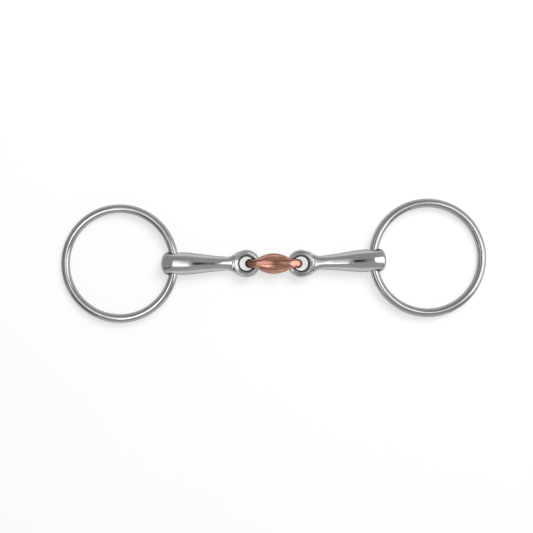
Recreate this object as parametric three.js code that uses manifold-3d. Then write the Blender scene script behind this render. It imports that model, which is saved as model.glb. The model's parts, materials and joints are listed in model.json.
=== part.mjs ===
// Loose-ring snaffle bit with a double-jointed mouthpiece: two round rings, two tapered arms and a
// central copper lozenge. Millimetres, +Z up, lying flat with its lowest points at z = 0.
// +X runs along the mouthpiece and +Y lies across it. The origin is under the middle of the whole bit.
import * as THREE from "three";
import { mergeVertices } from "three/addons/utils/BufferGeometryUtils.js";
import Module from "manifold-3d";

const wasm = await Module();
wasm.setup();

// Driving dimensions, from the middle of the bit outwards.
const lozengeLength = 37.8;
const lozengeWidth = 13.5;
const lozengeHeight = 14.2;
const lozengeEndWidth = 6.4; // width of the flattened ends that hook through the eyes
const lozengeEndHeight = 11.6;
const lozengeSquareness = 2.4; // 2 is an elliptical section, and more is squarer
const lozengeBulge = 33; // length over which the middle swells out of the flattened ends
const eyeOuterDiameter = 18.1;
const eyeHoleDiameter = 9.2;
const eyeThickness = 5.6; // height of the eye's wire
const eyeSpacing = 35.8; // between the centres of the two eyes
const neckDiameter = 8.9;
const cheekDiameter = 15.4; // the thick end of an arm
const cheekOverhang = 8.5; // from the ring hole's axis to the tip of the arm
const mouthWidth = 125; // between the facing sides of the two rings' wires
const ringOuterDiameter = 78;
const ringWireDiameter = 5.7;
const hingeGap = 0.4; // between a wire and the narrowest part of the hole that it turns in
const ringHoleFlare = 1.15; // how much wider the ring hole is at its two mouths
const eyeRoomFlare = 1.5; // the same for the lozenge's holes, at their half length from the middle
const eyeRoomHalfLength = 5.5;
const layAngle = THREE.MathUtils.degToRad(2.6); // how far the right arm lies turned about its eye

// Sizes that follow from them.
const ringWireRadius = ringWireDiameter / 2;
const ringRadius = ringOuterDiameter / 2 - ringWireRadius; // to the middle of the wire
const eyeWireWidth = (eyeOuterDiameter - eyeHoleDiameter) / 2;
const eyeRadius = (eyeOuterDiameter + eyeHoleDiameter) / 4; // to the middle of the wire
const hingeX = eyeSpacing / 2 - eyeRadius; // fold axis: the middle of the eye's inner wire
const armReach = (mouthWidth + ringWireDiameter - eyeSpacing) / 2; // from the eye to the ring hole
const cheekRadius = cheekDiameter / 2;
const neckRadius = neckDiameter / 2;

// Facet counts. An even number of sides, with a flat at the bottom, lets a round arm lie on a plane.
const armSides = 20;
const wireSides = 14;
const ringSegments = 60;
const eyeSegments = 28;
const armAxisHeight = cheekRadius * Math.cos(Math.PI / armSides);
const ringTilt = Math.asin((armAxisHeight - ringWireRadius) / (2 * ringRadius));

const material = (color, roughness) =>
  new THREE.MeshStandardMaterial({ color, roughness, metalness: 1 });
const polishedSteel = () => material(0xb9b8b4, 0.12);
const copper = () => material(0xb97a66, 0.3);

// A closed mesh as a manifold solid, and back.
function solid(geometry) {
  const bare = geometry.clone();
  bare.deleteAttribute("normal");
  bare.deleteAttribute("uv");
  const merged = mergeVertices(bare, 1e-4);
  return new wasm.Manifold(
    new wasm.Mesh({
      numProp: 3,
      vertProperties: merged.attributes.position.array,
      triVerts: new Uint32Array(merged.index.array),
    }),
  );
}

function geometryOf(manifold) {
  const mesh = manifold.getMesh();
  const geometry = new THREE.BufferGeometry();
  geometry.setAttribute("position", new THREE.BufferAttribute(mesh.vertProperties, 3));
  geometry.setIndex(new THREE.BufferAttribute(mesh.triVerts, 1));
  const flat = geometry.toNonIndexed();
  flat.computeVertexNormals();
  return flat;
}

// A ring of elliptical wire about the Z axis, with a flat facet in the middle of its inner side.
function ringGeometry(radius, halfWidth, halfHeight, sides, segments) {
  const profile = [];
  for (let i = 0; i <= sides; i++) {
    const angle = ((i % sides) + 0.5) * ((2 * Math.PI) / sides);
    profile.push(
      new THREE.Vector2(radius + halfWidth * Math.cos(angle), halfHeight * Math.sin(angle)),
    );
  }
  const halfStep = Math.PI / segments;
  return new THREE.LatheGeometry(profile, segments, halfStep).rotateX(Math.PI / 2);
}

// A solid with superelliptical sections across X, whose half width and half height change along it.
function loft(stations, sides, halfWidthAt, halfHeightAt, roundness = 2) {
  const length = stations.at(-1) - stations[0];
  const geometry = new THREE.CylinderGeometry(1, 1, length, sides, stations.length - 1);
  const position = geometry.attributes.position;
  const squareness = 2 / roundness;
  for (let i = 0; i < position.count; i++) {
    const row = Math.round((position.getY(i) / length + 0.5) * (stations.length - 1));
    const x = stations[row];
    const rim = Math.hypot(position.getX(i), position.getZ(i));
    const turn = Math.atan2(position.getX(i), position.getZ(i)) + Math.PI / sides;
    const across = Math.sign(Math.cos(turn)) * Math.abs(Math.cos(turn)) ** squareness;
    const up = Math.sign(Math.sin(turn)) * Math.abs(Math.sin(turn)) ** squareness;
    position.setXYZ(i, x, rim * across * halfWidthAt(x), rim * up * halfHeightAt(x));
  }
  return geometry;
}

// A rounded hole about the Y axis that opens out towards both mouths as an arc, so that a bent wire
// can swing in it. Its radius is narrowest in the middle.
function flaredBore(radius, halfLength, mouthRadius, steps, sides) {
  const profile = [new THREE.Vector2(0, -halfLength)];
  for (let i = -steps; i <= steps; i++) {
    const t = i / steps;
    profile.push(new THREE.Vector2(radius + (mouthRadius - radius) * t * t, t * halfLength));
  }
  profile.push(new THREE.Vector2(0, halfLength));
  return new THREE.LatheGeometry(profile, sides, Math.PI / sides);
}

// The arm's sections, by distance out from the eye's centre: a flattened flare joins the eye to the
// round neck, and a straight taper leads to a short cylinder round the ring hole and a blunt dome.
const flareStart = 2.4;
const flareEnd = 12.5;
const flareTop = 8; // where the flare has come down to the thickness of the eye
const taperEnd = armReach - 3.5;
const domeStart = armReach + 1;
const domeLength = cheekOverhang - 1;
const domeBluntness = 2.6;
const tipFlat = 1.6; // radius of the flat at the very tip

function blend(x, from, to) {
  const t = THREE.MathUtils.clamp((x - from) / (to - from), 0, 1);
  return (1 + Math.cos(Math.PI * t)) / 2;
}

function armRadius(x) {
  if (x > domeStart) {
    const t = Math.min(1, (x - domeStart) / domeLength);
    return Math.max(tipFlat, cheekRadius * (1 - t ** domeBluntness) ** (1 / domeBluntness));
  }
  const t = THREE.MathUtils.clamp((x - flareEnd) / (taperEnd - flareEnd), 0, 1);
  return THREE.MathUtils.lerp(neckRadius, cheekRadius, t);
}

function armHalfWidth(x) {
  const shoulder = eyeOuterDiameter / 2 - 0.15;
  return armRadius(x) + (shoulder - neckRadius) * blend(x, flareStart, flareEnd);
}

function armHalfHeight(x) {
  const eyeHalf = eyeThickness / 2 - 0.15;
  return armRadius(x) + (eyeHalf - neckRadius) * blend(x, flareTop, flareEnd);
}

// One mouthpiece arm, from its eye (centred at the origin) out along +X.
function mouthpieceArm() {
  const flareStations = [0, 2.6, 4.6, 6.2, 7.8, 9.4, 11, flareEnd];
  const domeStations = [0, 0.4, 0.65, 0.83, 0.94, 1].map((t) => domeStart + domeLength * t);
  const stations = [...flareStations, taperEnd, ...domeStations];
  const body = solid(loft(stations, armSides, armHalfWidth, armHalfHeight));
  const room = solid(
    new THREE.CylinderGeometry(eyeRadius, eyeRadius, cheekDiameter, eyeSegments).rotateX(Math.PI / 2),
  );
  const eye = solid(
    ringGeometry(eyeRadius, eyeWireWidth / 2, eyeThickness / 2, wireSides, eyeSegments),
  );
  const narrowest = ringWireRadius + hingeGap;
  const ringHole = solid(
    flaredBore(narrowest, cheekRadius + 1, narrowest + ringHoleFlare, 3, armSides)
      .translate(armReach, 0, 0),
  );
  return geometryOf(body.subtract(room).add(eye).subtract(ringHole));
}

// The copper link: a rounded spindle with flattened ends, each with a flared hole across it.
function lozenge() {
  const half = lozengeLength / 2;
  const swell = (x) => Math.cos((Math.PI * Math.min(Math.abs(x), lozengeBulge / 2)) / lozengeBulge) ** 2;
  const endRound = (x, reach, power) => {
    const t = Math.max(0, (Math.abs(x) - (half - reach)) / reach);
    return Math.max(0, 1 - t ** power) ** (1 / power);
  };
  const tip = 0.05; // the solid ends in a flat of this size in place of a sharp point
  const halfWidth = (x) => {
    const middle = (lozengeWidth - lozengeEndWidth) * swell(x);
    return ((lozengeEndWidth + middle) / 2) * Math.max(tip, endRound(x, 4.2, 2.2));
  };
  const halfHeight = (x) => {
    const middle = (lozengeHeight - lozengeEndHeight) * swell(x);
    return ((lozengeEndHeight + middle) / 2) * Math.max(tip, endRound(x, half - hingeX, 2));
  };
  const rightSide = [0, 3.5, 6.5, 9, 11.5, 13.5, 15.2, 16.7, 17.9, 18.6, half];
  const stations = [...rightSide.slice(1).reverse().map((x) => -x), ...rightSide];
  const body = solid(loft(stations, armSides, halfWidth, halfHeight, lozengeSquareness));
  return geometryOf(body.subtract(eyeRoom(-1)).subtract(eyeRoom(1)));
}

// The hole across one end of the lozenge. It follows the bend of the eye's wire outboard as it opens
// out, so the wire can fold in it and the swollen middle keeps its outline.
function eyeRoom(direction) {
  const narrowest = eyeThickness / 2 + hingeGap;
  const bore = flaredBore(narrowest, eyeRoomHalfLength, narrowest + eyeRoomFlare, 4, armSides);
  const position = bore.attributes.position;
  for (let i = 0; i < position.count; i++) {
    const bend = position.getY(i) ** 2 / (2 * eyeRadius);
    position.setX(i, position.getX(i) + direction * (hingeX + bend));
  }
  return solid(bore);
}

function named(name, geometry, look) {
  const mesh = new THREE.Mesh(geometry, look);
  mesh.name = name;
  return mesh;
}

// One side of the bit: an arm, and the ring that hangs in its hole with its far side on the ground.
function side(name, eyeX, heading) {
  const group = new THREE.Group();
  const ring = named(
    `${name}_ring`,
    ringGeometry(ringRadius, ringWireRadius, ringWireRadius, wireSides, ringSegments),
    polishedSteel(),
  );
  const ringHinge = new THREE.Group();
  ring.position.x = ringRadius;
  ringHinge.position.x = armReach;
  ringHinge.rotation.y = ringTilt;
  ringHinge.add(ring);
  group.add(named(`${name}_mouthpiece_arm`, mouthpieceArm(), polishedSteel()), ringHinge);
  group.position.set(eyeX, 0, armAxisHeight);
  group.rotation.z = heading;
  return group;
}

const link = named("copper_lozenge", lozenge(), copper());
link.position.z = armAxisHeight;

const bit = new THREE.Group();
bit.add(link, side("left", -eyeSpacing / 2, Math.PI), side("right", eyeSpacing / 2, layAngle));

// The turned right arm carries its ring off the centre line, so the origin moves to the middle.
const sideReach = armReach + ringRadius;
const rightRingShift = sideReach * Math.sin(layAngle);
bit.position.set((sideReach * (1 - Math.cos(layAngle))) / 2, -rightRingShift / 2, 0);

export default bit;
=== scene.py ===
"""A loose-ring snaffle bit with a copper lozenge, lying flat on a pale floor.

Shapes are worked out in millimetres in each piece's own frame, then placed in metres by the joints.
An arm's own frame has its origin at the centre of the eye, +X towards the ring and +Z up.
"""

import json
import math

import bpy
import numpy as np
from mathutils import Matrix, Quaternion, Vector


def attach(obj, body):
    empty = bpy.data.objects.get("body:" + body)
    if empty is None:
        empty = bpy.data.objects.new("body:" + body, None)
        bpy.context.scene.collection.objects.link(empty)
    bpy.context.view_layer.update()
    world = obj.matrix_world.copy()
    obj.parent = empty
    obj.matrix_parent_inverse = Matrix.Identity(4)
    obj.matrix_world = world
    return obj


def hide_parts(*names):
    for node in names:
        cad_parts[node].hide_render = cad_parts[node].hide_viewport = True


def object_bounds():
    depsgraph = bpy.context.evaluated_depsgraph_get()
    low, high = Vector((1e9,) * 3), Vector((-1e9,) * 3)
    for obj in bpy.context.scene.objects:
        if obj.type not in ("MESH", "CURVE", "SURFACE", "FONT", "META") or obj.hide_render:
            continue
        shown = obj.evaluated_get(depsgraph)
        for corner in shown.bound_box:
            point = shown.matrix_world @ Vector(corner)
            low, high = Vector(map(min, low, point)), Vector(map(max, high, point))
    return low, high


MM = 0.001

# Sizes in millimetres, the same as the CAD model's.
EYE_RADIUS = 6.825  # to the middle of the eye's wire
EYE_WIRE_WIDTH = 4.45
EYE_WIRE_HEIGHT = 5.6
EYE_OUTER_RADIUS = EYE_RADIUS + EYE_WIRE_WIDTH / 2
NECK_RADIUS = 4.45
CHEEK_RADIUS = 7.7
ARM_REACH = 47.45  # from the eye's centre to the ring hole's axis
ARM_TIP = 55.95
RING_RADIUS = 36.15  # to the middle of the ring's wire
RING_WIRE_RADIUS = 2.85
HINGE_GAP = 0.4  # round each wire in its hole
RING_HOLE_HALF_LENGTH = CHEEK_RADIUS + 1
RING_HOLE_FLARE = 0.6  # added to the hole's radius at its half length from the middle
LOZENGE_HALF_LENGTH = 18.9
LOZENGE_END_HALF_WIDTH = 3.2
LOZENGE_HALF_WIDTH = 6.75
LOZENGE_END_HALF_HEIGHT = 5.8
LOZENGE_HALF_HEIGHT = 7.1
LOZENGE_SQUARENESS = 2.4  # 2 is an elliptical section, and more is squarer
LOZENGE_BULGE = 33.0  # length over which the middle swells out of the ends
LOZENGE_HOLE_HALF_LENGTH = 5.5
LOZENGE_HOLE_FLARE = 1.5

# Shapes that the CAD model has plainer or not at all, in millimetres.
LOZENGE_PLAN_END = (4.2, 2.2)  # each end's rounding seen from above: its reach and its bluntness
LOZENGE_SIDE_BLUNTNESS = 2.0
LOZENGE_BEVEL_START = 13.0  # a flat slope at each end's top and bottom passes here
LOZENGE_BEVEL_HEIGHT = 5.35
LOZENGE_BEVEL_ANGLE = math.radians(23)
FLARE_START, FLARE_END = 2.4, 12.5  # where the arm widens into the eye, seen from above
FLARE_INSET = 0.15  # how far the flare stays inside the eye's outline
NECK_FOOT = 8.4  # where the neck's sloping top meets the eye
NECK_FOOT_HEIGHT = 2.4
NECK_SLOPE = 0.268
NECK_DIP = 0.2  # how far below the neck's foot the arm may sink inside the eye
EYE_SQUARENESS = 2.6
CHAMFER_RADIUS = 7.3  # the eye's top slopes down from here towards its hole
CHAMFER_ANGLE = math.radians(24)
TAPER_END = ARM_REACH - 3.5
TOP_TAPER_END = ARM_REACH - 8.5
TAPER_WAVE = 0.04  # the taper is steeper in its middle than at its ends, by this share
TAPER_START_ROUND, TAPER_END_ROUND = 0.16, 0.22  # as shares of the taper's length
DOME_START = ARM_REACH + 3.5
DOME_BLUNTNESS = 2.2
BEVEL_START = ARM_REACH + 0.3  # from here to the tip the cheek's top and bottom slope together
BEVEL_SLOPE = 0.3

# How wide the rounding is where two surfaces meet, in millimetres.
NECK_ROUND = 0.5
NECK_FOOT_ROUND = 0.4
CHEEK_BEVEL_ROUND = 0.5
EYE_MOUTH_ROUND = 1.5
THROAT, THROAT_ROUND = 2.0, 2.0  # the arm's body starts this far out from the eye's centre
EYE_JOIN_ROUND = 1.2
CHAMFER_ROUND = 0.35
RING_HOLE_ROUND = 0.3
LOZENGE_BEVEL_ROUND = 0.25
LOZENGE_HOLE_ROUND = 0.8

ARM_CELL = 0.32  # size of the grid that a carved piece's surface is found on
LOZENGE_CELL = 0.28
MARGIN = 1  # how far the grid reaches past the piece
NEWTON_STEPS = 4
RING_STEPS, RING_SIDES = 288, 40

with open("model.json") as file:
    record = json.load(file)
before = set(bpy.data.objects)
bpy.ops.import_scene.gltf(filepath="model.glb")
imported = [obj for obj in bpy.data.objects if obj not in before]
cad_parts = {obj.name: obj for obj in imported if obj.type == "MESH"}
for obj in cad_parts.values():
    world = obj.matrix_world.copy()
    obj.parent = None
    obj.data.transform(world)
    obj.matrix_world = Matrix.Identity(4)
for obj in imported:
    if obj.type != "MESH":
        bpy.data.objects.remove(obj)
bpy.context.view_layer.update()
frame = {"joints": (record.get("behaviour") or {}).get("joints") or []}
joints = {joint["name"]: joint for joint in frame["joints"]}


# Distance fields. Each is close to the true distance near its surface, and negative inside.
def soft_min(a, b, width):
    h = np.clip(0.5 + 0.5 * (b - a) / width, 0, 1)
    return b * (1 - h) + a * h - width * h * (1 - h)


def soft_max(a, b, width):
    return -soft_min(-a, -b, width)


def smooth_step(x, low, high):
    t = np.clip((x - low) / (high - low), 0, 1)
    return (1 - np.cos(math.pi * t)) / 2


def oval_scale(y, z, half_width, half_height):
    """Millimetres per unit of an oval's own measure, in the direction of (y, z)."""
    tiny = 1e-6
    unit = np.hypot(y / half_width, z / half_height) + tiny
    steepness = np.hypot(y / half_width**2, z / half_height**2) + tiny / half_height
    return unit / steepness


def hole_across(x, y, z, radius, flare, half_length, bend_radius=math.inf):
    """A round hole along Y that widens towards its mouths and may follow a bend towards +X."""
    centre = y**2 / (2 * bend_radius)
    return np.hypot(x - centre, z) - radius - flare * (y / half_length) ** 2


def tapered(x, end):
    """The arm's size at x, from the neck to the cheek, where the taper ends at the given place."""
    along = (x - FLARE_END) / (end - FLARE_END)
    taper = soft_min(soft_max(along, 0.0, TAPER_START_ROUND), 1.0, TAPER_END_ROUND)
    taper = taper - TAPER_WAVE * np.sin(2 * math.pi * taper)
    return NECK_RADIUS + (CHEEK_RADIUS - NECK_RADIUS) * taper


def arm_field(p):
    x, y, z = p[..., 0], p[..., 1], p[..., 2]
    radius = tapered(x, TAPER_END)
    shoulder = 1 - smooth_step(x, FLARE_START, FLARE_END)
    half_width = radius + (EYE_OUTER_RADIUS - FLARE_INSET - NECK_RADIUS) * shoulder
    rise = NECK_FOOT_HEIGHT + NECK_SLOPE * (x - NECK_FOOT)
    half_height = soft_min(tapered(x, TOP_TAPER_END), rise, NECK_ROUND)
    half_height = soft_max(half_height, NECK_FOOT_HEIGHT - NECK_DIP, NECK_FOOT_ROUND)
    dome = np.clip((x - DOME_START) / (ARM_TIP - DOME_START), 0, None)
    section = np.hypot(y / half_width, z / half_height)
    rounded = (section**DOME_BLUNTNESS + dome**DOME_BLUNTNESS) ** (1 / DOME_BLUNTNESS)
    body = (rounded - 1) * oval_scale(y, z, half_width, half_height)
    bevel_height = CHEEK_RADIUS - BEVEL_SLOPE * np.clip(x - BEVEL_START, 0, None)
    bevel = np.hypot(y / CHEEK_RADIUS, z / bevel_height) - 1
    bevel = bevel * oval_scale(y, z, CHEEK_RADIUS, bevel_height)
    body = soft_max(body, bevel, CHEEK_BEVEL_ROUND)
    reach = np.hypot(x, y)
    body = soft_max(body, EYE_RADIUS - reach, EYE_MOUTH_ROUND)
    body = soft_max(body, THROAT - x, THROAT_ROUND)
    across = reach - EYE_RADIUS
    half_across, half_tall = EYE_WIRE_WIDTH / 2, EYE_WIRE_HEIGHT / 2
    power = EYE_SQUARENESS
    wire = np.abs(across / half_across) ** power + np.abs(z / half_tall) ** power
    eye = (wire ** (1 / power) - 1) * oval_scale(across, z, half_across, half_tall)
    chamfer = (np.abs(z) - half_tall) * math.cos(CHAMFER_ANGLE)
    chamfer = chamfer + (CHAMFER_RADIUS - reach) * math.sin(CHAMFER_ANGLE)
    solid = soft_max(soft_min(body, eye, EYE_JOIN_ROUND), chamfer, CHAMFER_ROUND)
    return soft_max(solid, -ring_hole(p), RING_HOLE_ROUND)


def ring_hole(p):
    x, y, z = p[..., 0] - ARM_REACH, p[..., 1], p[..., 2]
    radius = RING_WIRE_RADIUS + HINGE_GAP
    return hole_across(x, y, z, radius, RING_HOLE_FLARE, RING_HOLE_HALF_LENGTH)


def eye_hole(p):
    """Distance outside the wall of the eye's hole."""
    return np.hypot(p[..., 0], p[..., 1]) - EYE_WALL_RADIUS


def lozenge_field(p):
    x, y, z = np.abs(p[..., 0]), p[..., 1], p[..., 2]
    half_bulge = LOZENGE_BULGE / 2
    swell = np.cos(math.pi * np.minimum(x, half_bulge) / LOZENGE_BULGE) ** 2
    half_width = LOZENGE_END_HALF_WIDTH + (LOZENGE_HALF_WIDTH - LOZENGE_END_HALF_WIDTH) * swell
    half_height = LOZENGE_END_HALF_HEIGHT + (LOZENGE_HALF_HEIGHT - LOZENGE_END_HALF_HEIGHT) * swell
    half_width *= end_round(x, *LOZENGE_PLAN_END)
    half_height *= end_round(x, LOZENGE_HALF_LENGTH - joint_offset, LOZENGE_SIDE_BLUNTNESS)
    power = LOZENGE_SQUARENESS
    section = np.abs(y / half_width) ** power + np.abs(z / half_height) ** power
    body = (section ** (1 / power) - 1) * oval_scale(y, z, half_width, half_height)
    bevel = (np.abs(z) - LOZENGE_BEVEL_HEIGHT) * math.cos(LOZENGE_BEVEL_ANGLE)
    bevel = bevel + (x - LOZENGE_BEVEL_START) * math.sin(LOZENGE_BEVEL_ANGLE)
    body = soft_max(body, bevel, LOZENGE_BEVEL_ROUND)
    return soft_max(body, -lozenge_hole(p), LOZENGE_HOLE_ROUND)


def end_round(x, reach, bluntness):
    """The share of the full size left at x, where an end rounds off over the last reach."""
    least = 0.02
    t = np.clip((x - (LOZENGE_HALF_LENGTH - reach)) / reach, 0, 1)
    return np.maximum(least, (1 - t**bluntness) ** (1 / bluntness))


def lozenge_hole(p):
    x, y, z = np.abs(p[..., 0]) - joint_offset, p[..., 1], p[..., 2]
    radius = EYE_WIRE_HEIGHT / 2 + HINGE_GAP
    return hole_across(x, y, z, radius, LOZENGE_HOLE_FLARE, LOZENGE_HOLE_HALF_LENGTH, EYE_RADIUS)


# Meshes.
def slope(field, points, step=0.01):
    shifts = np.eye(3) * step
    sides = [field(points + shift) - field(points - shift) for shift in shifts]
    return np.stack(sides, -1) / (2 * step)


def carve(field, low, high, cell):
    """Points, normals and quads of the surface where field is zero, inside this box."""
    axes = [np.arange(a - MARGIN, b + MARGIN + cell, cell) for a, b in zip(low, high)]
    value = field(np.stack(np.meshgrid(*axes, indexing="ij"), -1))
    size = np.array(value.shape)
    total = np.zeros((*(size - 1), 3))
    count = np.zeros(size - 1)
    crossings = []
    for axis in range(3):
        side_a, side_b = (k for k in range(3) if k != axis)
        lower = np.take(value, range(size[axis] - 1), axis)
        upper = np.take(value, range(1, size[axis]), axis)
        crossing = (lower < 0) != (upper < 0)
        share = np.where(crossing, lower / np.where(crossing, lower - upper, 1), 0)
        crossings.append((crossing, lower < 0))
        for i in (0, 1):
            for j in (0, 1):
                pick = [slice(None)] * 3
                pick[side_a] = slice(i, size[side_a] - 1 + i)
                pick[side_b] = slice(j, size[side_b] - 1 + j)
                hit = crossing[tuple(pick)]
                total[..., axis] += share[tuple(pick)]
                total[..., side_a] += hit * i
                total[..., side_b] += hit * j
                count += hit
    used = count > 0
    index = np.full(used.shape, -1)
    index[used] = np.arange(used.sum())
    points = np.argwhere(used) + total[used] / count[used][:, None]
    points = np.array(low) - MARGIN + points * cell
    quads = []
    for axis, (crossing, inside) in enumerate(crossings):
        side_a, side_b = (axis + 1) % 3, (axis + 2) % 3
        edges = np.argwhere(crossing)
        corners = []
        for back_a, back_b in ((1, 1), (0, 1), (0, 0), (1, 0)):
            cells = edges.copy()
            cells[:, side_a] -= back_a
            cells[:, side_b] -= back_b
            corners.append(index[tuple(cells.T)])
        quad = np.stack(corners, 1)
        outward = inside[crossing][:, None]
        quads.append(np.where(outward, quad, quad[:, ::-1]))
    for _ in range(NEWTON_STEPS):
        steep = slope(field, points)
        move = field(points)[:, None] * steep / (steep**2).sum(1, keepdims=True)
        points = points - np.clip(move, -cell / 2, cell / 2)
    steep = slope(field, points)
    return points, steep / np.linalg.norm(steep, axis=1, keepdims=True), np.concatenate(quads)


def ring_surface():
    """Points, normals and quads of a round wire bent into a circle about Z."""
    turn, around = np.meshgrid(
        np.linspace(0, 2 * math.pi, RING_STEPS, endpoint=False),
        np.linspace(0, 2 * math.pi, RING_SIDES, endpoint=False),
        indexing="ij",
    )
    outward = np.stack([np.cos(turn), np.sin(turn), np.zeros_like(turn)], -1)
    normals = outward * np.cos(around)[..., None]
    normals[..., 2] = np.sin(around)
    points = outward * RING_RADIUS + normals * RING_WIRE_RADIUS
    index = np.arange(RING_STEPS * RING_SIDES).reshape(RING_STEPS, RING_SIDES)
    ahead, up = np.roll(index, -1, 0), np.roll(index, -1, 1)
    quads = np.stack([index, ahead, np.roll(ahead, -1, 1), up], -1)
    return points.reshape(-1, 3), normals.reshape(-1, 3), quads.reshape(-1, 4)


def piece(name, surface, recess, place, material, body, node):
    """A mesh object from points in millimetres. recess is 1 in a hole's walls and 0 clear of it."""
    points, normals, quads = surface
    mesh = bpy.data.meshes.new(name)
    mesh.from_pydata(points * MM, [], quads.tolist())
    depth = mesh.attributes.new("recess", "FLOAT", "POINT")
    depth.data.foreach_set("value", recess.astype(np.float32))
    mesh.shade_smooth()
    mesh.normals_split_custom_set_from_vertices(normals)
    mesh.materials.append(material)
    made = bpy.data.objects.new(name, mesh)
    bpy.context.scene.collection.objects.link(made)
    made.matrix_world = place
    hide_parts(node)
    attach(made, body)
    return made


# Materials. Noise scales are per metre.
METAL_RIM_TINT = 0.45  # how bright a metal is at a grazing view
# Painted shade: the dark colour painted on the walls of the holes, where the metal sits in shade.
HOLE_SHADE = (0.035, 0.024, 0.019, 1)
STEEL_TINTS = ((1, 0.995, 0.975), (1, 0.99, 0.97))  # of its darkest and its lightest patches
WORN_STEEL = (0.72, 0.70, 0.67, 1)
COPPER_DARKEST, COPPER_LIGHTEST = (0.43, 0.205, 0.145, 1), (0.75, 0.395, 0.295, 1)
COPPER_STREAK = (0.21, 0.09, 0.065, 1)
# Painted shade: the dark brown painted in the lozenge's holes and over its left end.
COPPER_SHADE = (0.08, 0.028, 0.018, 1)
WORN_COPPER = (0.84, 0.48, 0.37, 1)
# Painted shade: the lozenge is painted darker over this span towards its left end, which mirrors
# dark surroundings.
LEFT_SHADE_START, LEFT_SHADE_END = -0.0105, -0.0165  # metres along X towards the lozenge's left end
# How far the painted shade in each hole spreads from its wall, in millimetres, and the radius
# inside which the eye's wire counts as the wall of its hole.
RING_HOLE_SHADE_FADE, EYE_HOLE_SHADE_FADE, LOZENGE_HOLE_SHADE_FADE = 0.9, 0.7, 1.1
EYE_WALL_RADIUS = EYE_RADIUS - 1.35
# Edges are worn where Pointiness is high: where wear starts and is full, and what it does.
WEAR_START, WEAR_FULL = 0.515, 0.57
WEAR_COLOUR, WEAR_DULLING = 0.8, 0.2


class Nodes:
    """A short way to write a material's nodes. Inputs are values or other nodes' outputs."""

    def __init__(self, tree):
        self.tree = tree

    def add(self, kind, output=0, inputs=(), **settings):
        node = self.tree.nodes.new(kind)
        for key, value in settings.items():
            setattr(node, key, value)
        for key, value in dict(inputs).items():
            if isinstance(value, bpy.types.NodeSocket):
                self.tree.links.new(value, node.inputs[key])
            else:
                node.inputs[key].default_value = value
        return node.outputs[output]

    def math(self, operation, a, b=0.0):
        return self.add("ShaderNodeMath", inputs={0: a, 1: b}, operation=operation)

    def total(self, first, second):
        """The sum of two (value, weight) pairs."""
        parts = [self.math("MULTIPLY", value, weight) for value, weight in (first, second)]
        return self.math("ADD", *parts)

    def spread(self, value, low, high):
        """value from 0 to 1, taken to low to high."""
        return self.add("ShaderNodeMapRange", inputs={0: value, 3: low, 4: high})

    def step(self, value, low, high):
        """0 below low, 1 above high, and smooth between."""
        return self.add(
            "ShaderNodeMapRange",
            inputs={0: value, 1: low, 2: high},
            interpolation_type="SMOOTHSTEP",
        )

    def blend(self, share, first, second):
        return self.add(
            "ShaderNodeMix", 2, {0: share, 6: first, 7: second}, data_type="RGBA"
        )

    def noise(self, vector, scale, detail=2.0, roughness=0.5):
        inputs = {"Vector": vector, "Scale": scale, "Detail": detail, "Roughness": roughness}
        return self.add("ShaderNodeTexNoise", inputs=inputs)

    def stretch(self, vector, factors):
        return self.add("ShaderNodeMapping", inputs={"Vector": vector, "Scale": factors})


def grey(tone):
    return tone, tone, tone, 1


def metal(name):
    """A bare metal, for finish_metal to complete."""
    material = bpy.data.materials.new(name)
    material.use_nodes = True
    nodes = Nodes(material.node_tree)
    shader = material.node_tree.nodes["Principled BSDF"]
    shader.inputs["Metallic"].default_value = 1.0
    shader.inputs["Specular Tint"].default_value = grey(METAL_RIM_TINT)
    return material, nodes, shader


def finish_metal(nodes, shader, colour, roughness, height, worn):
    """Join up a metal. Its edges are worn duller, and to the worn colour, in patches."""
    links = nodes.tree.links
    place = nodes.add("ShaderNodeTexCoord", 3)
    pointiness = nodes.add("ShaderNodeNewGeometry", "Pointiness")
    edge = nodes.step(pointiness, WEAR_START, WEAR_FULL)
    wear = nodes.math("MULTIPLY", edge, nodes.step(nodes.noise(place, 1200.0), 0.35, 0.65))
    colour = nodes.blend(nodes.math("MULTIPLY", wear, WEAR_COLOUR), colour, worn)
    roughness = nodes.total((roughness, 1.0), (wear, WEAR_DULLING))
    links.new(colour, shader.inputs["Base Color"])
    links.new(roughness, shader.inputs["Roughness"])
    bump = nodes.add("ShaderNodeBump", inputs={"Height": height, "Distance": MM})
    links.new(bump, shader.inputs["Normal"])


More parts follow.
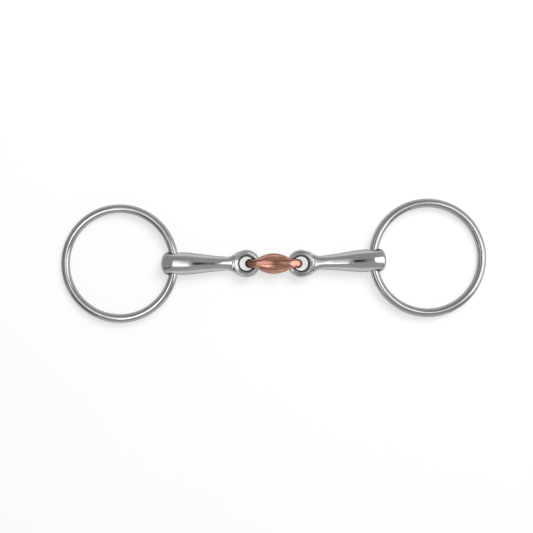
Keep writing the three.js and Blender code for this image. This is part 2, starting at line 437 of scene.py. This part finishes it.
def steel(name, circular, darkest, lightest):
    """Polished stainless steel. Its polishing lines run along X, or round Z if circular."""
    material, nodes, shader = metal(name)
    place = nodes.add("ShaderNodeTexCoord", 3)
    if circular:
        split = nodes.tree.nodes.new("ShaderNodeSeparateXYZ")
        nodes.tree.links.new(place, split.inputs[0])
        x, y, z = split.outputs
        squares = nodes.math("ADD", nodes.math("POWER", x, 2.0), nodes.math("POWER", y, 2.0))
        radial = nodes.math("SQRT", squares)
        around = nodes.math("MULTIPLY", nodes.math("ADD", x, y), 0.02)
        lines = nodes.add("ShaderNodeCombineXYZ", inputs={0: around, 1: radial, 2: z})
    else:
        lines = nodes.stretch(place, (0.04, 1.0, 1.0))
    recess = nodes.add("ShaderNodeAttribute", 2, attribute_name="recess")
    polish = nodes.noise(lines, 2600.0, 3.0, 0.6)
    clouds = nodes.noise(place, 110.0, 3.0)
    ripple = nodes.noise(nodes.stretch(place, (0.28, 1.0, 1.0)), 260.0, 1.0)
    dark, light = (
        (*(tone * part for part in tint), 1)
        for tone, tint in zip((darkest, lightest), STEEL_TINTS)
    )
    colour = nodes.blend(clouds, dark, light)
    # Painted shade: the walls of the holes are painted dark, fading out away from each wall.
    hole_shade = nodes.math("MULTIPLY", recess, nodes.spread(nodes.noise(place, 900.0), 0.7, 1.0))
    colour = nodes.blend(hole_shade, colour, HOLE_SHADE)
    roughness = nodes.total((nodes.spread(polish, 0.06, 0.17), 1.0), (recess, 0.25))
    height = nodes.total((polish, 0.0005), (ripple, 0.075))
    finish_metal(nodes, shader, colour, roughness, height, WORN_STEEL)
    return material


def copper(name):
    """Polished copper with lengthwise streaks, and painted shade that turns it brown in its holes
    and towards its left end.
    """
    material, nodes, shader = metal(name)
    place = nodes.add("ShaderNodeTexCoord", 3)
    lines = nodes.stretch(place, (0.045, 1.0, 1.0))
    recess = nodes.add("ShaderNodeAttribute", 2, attribute_name="recess")
    streaks = nodes.noise(lines, 750.0, 4.0, 0.6)
    fine = nodes.noise(lines, 4200.0, 2.0)
    clouds = nodes.noise(place, 160.0, 3.0)
    colour = nodes.blend(clouds, COPPER_DARKEST, COPPER_LIGHTEST)
    dull = nodes.step(streaks, 0.43, 0.68)
    colour = nodes.blend(nodes.math("MULTIPLY", dull, 0.85), colour, COPPER_STREAK)
    split = nodes.tree.nodes.new("ShaderNodeSeparateXYZ")
    nodes.tree.links.new(place, split.inputs[0])
    # Painted shade: the left end is painted darker, standing in for the dark that it reflects.
    leftward = nodes.step(split.outputs[0], LEFT_SHADE_START, LEFT_SHADE_END)
    left_shade = nodes.math("MULTIPLY", leftward, 0.55)
    # Painted shade: the walls of the holes are painted dark brown, and so is the left end.
    copper_shade = nodes.math("MAXIMUM", nodes.math("MULTIPLY", recess, 0.85), left_shade)
    colour = nodes.blend(copper_shade, colour, COPPER_SHADE)
    roughness = nodes.total((nodes.spread(fine, 0.12, 0.28), 1.0), (dull, 0.10))
    height = nodes.total((streaks, 0.17), (fine, 0.006))
    finish_metal(nodes, shader, colour, roughness, height, WORN_COPPER)
    return material


def recess_of(hole, points, fade):
    """1 on the wall of a hole, fading to 0 at this distance from it."""
    return np.clip(1 - hole(points) / fade, 0, 1)


# The pieces, placed by the joints.
def flat_turn(angle):
    return Matrix.Rotation(angle, 4, "Z")


fold = {side: Vector(joints[side + "_arm_fold"]["pos_m"]) for side in ("left", "right")}
swing = {side: Vector(joints[side + "_ring_swing"]["pos_m"]) for side in ("left", "right")}
middle = (fold["left"] + fold["right"]) / 2
joint_offset = (fold["right"].x - fold["left"].x) / 2 / MM

arm_steel = steel("polished_arm_steel", False, 0.46, 0.56)
ring_steel = steel("polished_ring_steel", True, 0.38, 0.47)
lozenge_copper = copper("polished_copper")

arm_surface = carve(
    arm_field,
    (-EYE_OUTER_RADIUS, -EYE_OUTER_RADIUS, -CHEEK_RADIUS),
    (ARM_TIP, EYE_OUTER_RADIUS, CHEEK_RADIUS),
    ARM_CELL,
)
arm_recess = np.maximum(
    recess_of(ring_hole, arm_surface[0], RING_HOLE_SHADE_FADE),
    recess_of(eye_hole, arm_surface[0], EYE_HOLE_SHADE_FADE),
)
ring_shape = ring_surface()
lozenge_surface = carve(
    lozenge_field,
    (-LOZENGE_HALF_LENGTH, -LOZENGE_HALF_WIDTH, -LOZENGE_HALF_HEIGHT),
    (LOZENGE_HALF_LENGTH, LOZENGE_HALF_WIDTH, LOZENGE_HALF_HEIGHT),
    LOZENGE_CELL,
)

piece(
    "copper_lozenge_body",
    lozenge_surface,
    recess_of(lozenge_hole, lozenge_surface[0], LOZENGE_HOLE_SHADE_FADE),
    Matrix.Translation(middle),
    lozenge_copper,
    "lozenge",
    "copper_lozenge",
)
for side, eye_direction in (("left", -1), ("right", 1)):
    eye = fold[side] + Vector((eye_direction * EYE_RADIUS * MM, 0, 0))
    outward = swing[side] - eye
    heading = flat_turn(math.atan2(outward.y, outward.x))
    drop = math.asin((swing[side].z / MM - RING_WIRE_RADIUS) / (2 * RING_RADIUS))
    ring_place = (
        Matrix.Translation(swing[side])
        @ heading
        @ Matrix.Rotation(drop, 4, "Y")
        @ Matrix.Translation((RING_RADIUS * MM, 0, 0))
    )
    piece(
        side + "_arm_body",
        arm_surface,
        arm_recess,
        Matrix.Translation(eye) @ heading,
        arm_steel,
        side + "_arm",
        side + "_mouthpiece_arm",
    )
    piece(
        side + "_ring_body",
        ring_shape,
        np.zeros(len(ring_shape[0])),
        ring_place,
        ring_steel,
        side + "_ring",
        side + "_ring",
    )

# The camera looks straight down, a little left of and below the middle of the bit.
FIELD_WIDTH = 0.3501  # what the picture's width covers at the height of the arms
CAMERA_SHIFT = Vector((-0.00472, -0.0038, 0))
camera = bpy.data.objects.new("camera", bpy.data.cameras.new("camera"))
camera.data.lens, camera.data.sensor_width = 85, 36
camera.data.clip_start, camera.data.clip_end = 0.01, 100
camera_height = FIELD_WIDTH * camera.data.lens / camera.data.sensor_width
camera.location = Vector((0, 0, middle.z + camera_height)) + CAMERA_SHIFT
bpy.context.scene.collection.objects.link(camera)
bpy.context.scene.camera = camera

# The studio: a pale floor that glows a little, and the lights, dark cards and sky that the metal
# mirrors. Places and sizes are in metres.
FLOOR_SIZE = 40.0
FLOOR_TONES = 0.29, 0.31
FLOOR_GLOW = 0.63
# The softboxes: where each is, what it faces, its width, its length and its brightness.
FILL = ((0.36, 0.52, 1.1), (0, 0, 0), 0.75, 0.75, 9.0)
WINDOW = ((0.60, 0.01, 0.55), (0.02, 0, 0), 0.52, 0.86, 1.7)
WINDOW_ROLL = -25  # degrees
# The overhead light, in panes that are brightest at the front and over the left ring: where each
# starts and ends along X and along Y, and its brightness.
OVERHEAD_PANES = (
    (-0.235, -0.085, -0.26, -0.03, 0.80),
    (-0.235, -0.085, -0.03, 0.27, 0.30),
    (-0.085, -0.041, -0.26, -0.14, 0.80),
    (-0.085, -0.041, -0.14, -0.06, 0.34),
    (-0.085, -0.041, -0.06, 0.0, 0.18),
    (-0.085, -0.041, 0.0, 0.27, 0.15),
)
OVERHEAD_HEIGHT = 0.46
OVERHEAD_SPREAD = 84  # degrees, so that the right ring hardly sees it
# The dark cards: where each is, what it faces, its width and its length.
CARDS = {
    "card_above": ((0.042, 0, 0.5), (0.042, 0, 0), 0.094, 0.27),
    "card_left": ((-0.60, 0, 0.06), (0, 0, 0.06), 0.35, 0.20),
    "card_front_left": ((-0.46, -0.30, 0.28), (-0.11, -0.02, 0), 0.24, 0.26),
    "card_front_right": ((0.40, -0.26, 0.06), (0.13, -0.03, 0.06), 0.25, 0.14),
}
CARD_TONE = 0.02
# The sky's brightness by its height, from 0 at the horizon to 1 overhead.
SKY_TONES = ((0.0, 1.10), (0.08, 0.85), (0.22, 0.52), (0.7, 0.49), (0.90, 0.49), (1.0, 0.49))
SKY_LEFT, SKY_RIGHT = 0.86, 1.10  # the sky is brighter towards +X
SKY_FORWARD = -0.08  # and a little towards -Y


def rectangle(name, width, length, material):
    """A flat mesh object about its own origin, facing +Z."""
    x, y = width / 2, length / 2
    mesh = bpy.data.meshes.new(name)
    mesh.from_pydata([(-x, -y, 0), (x, -y, 0), (x, y, 0), (-x, y, 0)], [], [(0, 1, 2, 3)])
    mesh.materials.append(material)
    return bpy.data.objects.new(name, mesh)


def floor_material():
    material = bpy.data.materials.new("pale_floor")
    material.use_nodes = True
    nodes = Nodes(material.node_tree)
    shader = material.node_tree.nodes["Principled BSDF"]
    place = nodes.add("ShaderNodeTexCoord", 3)
    tone = nodes.blend(nodes.noise(place, 3.0), *(grey(tone) for tone in FLOOR_TONES))
    nodes.tree.links.new(tone, shader.inputs["Base Color"])
    shader.inputs["Roughness"].default_value = 0.9
    shader.inputs["Specular IOR Level"].default_value = 0.1
    shader.inputs["Emission Color"].default_value = (1, 1, 1, 1)
    shader.inputs["Emission Strength"].default_value = FLOOR_GLOW
    return material


floor = rectangle("floor", FLOOR_SIZE, FLOOR_SIZE, floor_material())
floor.location.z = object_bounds()[0].z
bpy.context.scene.collection.objects.link(floor)


def aimed(made, location, aim, roll=0):
    """Puts a light or a card in the scene, facing aim, where the camera doesn't see it."""
    made.location = location
    facing = (Vector(aim) - Vector(location)).to_track_quat("-Z", "Y")
    made.rotation_euler = (facing @ Quaternion((0, 0, 1), math.radians(roll))).to_euler()
    made.visible_camera = False
    bpy.context.scene.collection.objects.link(made)


def softbox(name, location, aim, width, length, brightness, roll=0, spread=180):
    """A rectangular light. Its surface has this brightness, where the floor has about 1.

    With less than the full spread it looks several times brighter from straight ahead.
    """
    light = bpy.data.lights.new(name, "AREA")
    light.shape = "RECTANGLE"
    light.size = width
    light.size_y = length
    light.energy = brightness * math.pi * width * length
    light.spread = math.radians(spread)
    made = bpy.data.objects.new(name, light)
    aimed(made, location, aim, roll)
    return made


def black_card(name, location, aim, width, length):
    """A dark rectangle that shows only as a dark streak in the polished metal."""
    made = rectangle(name, width, length, card_material)
    aimed(made, location, aim)
    made.visible_diffuse = False
    made.visible_shadow = False


# The fill lights the floor and casts the shadows. The metal mirrors the overhead and the window.
fill = softbox("fill", *FILL)
fill.visible_glossy = False
for number, (left, right, front, back, brightness) in enumerate(OVERHEAD_PANES, 1):
    spot = Vector(((left + right) / 2, (front + back) / 2, OVERHEAD_HEIGHT))
    overhead = softbox(
        f"overhead_{number}",
        spot,
        (spot.x, spot.y, 0),
        right - left,
        back - front,
        brightness,
        spread=OVERHEAD_SPREAD,
    )
    overhead.visible_diffuse = False
window = softbox("window", *WINDOW, roll=WINDOW_ROLL)
window.visible_diffuse = False

card_material = bpy.data.materials.new("black_card")
card_material.use_nodes = True
card_shader = card_material.node_tree.nodes["Principled BSDF"]
card_shader.inputs["Base Color"].default_value = grey(CARD_TONE)
for name, card in CARDS.items():
    black_card(name, *card)

world = bpy.data.worlds.new("studio")
world.use_nodes = True
sky = Nodes(world.node_tree)
links = world.node_tree.links
direction = world.node_tree.nodes.new("ShaderNodeSeparateXYZ")
links.new(sky.add("ShaderNodeTexCoord", 0), direction.inputs[0])
rightward, backward, upward = direction.outputs
ramp = world.node_tree.nodes.new("ShaderNodeValToRGB")
links.new(upward, ramp.inputs[0])
ramp.color_ramp.interpolation = "B_SPLINE"
points = ramp.color_ramp.elements
while len(points) < len(SKY_TONES):
    points.new(0.5)
for point, (height, tone) in zip(points, SKY_TONES):
    point.position = height
    point.color = grey(tone)
background = world.node_tree.nodes["Background"]
links.new(ramp.outputs[0], background.inputs[0])
across = sky.math("ADD", sky.math("MULTIPLY", rightward, 0.5), 0.5)
forward = sky.math("MULTIPLY", backward, SKY_FORWARD)
links.new(sky.math("ADD", sky.spread(across, SKY_LEFT, SKY_RIGHT), forward), background.inputs[1])
bpy.context.scene.world = world
bpy.context.scene.view_settings.view_transform = "Standard"
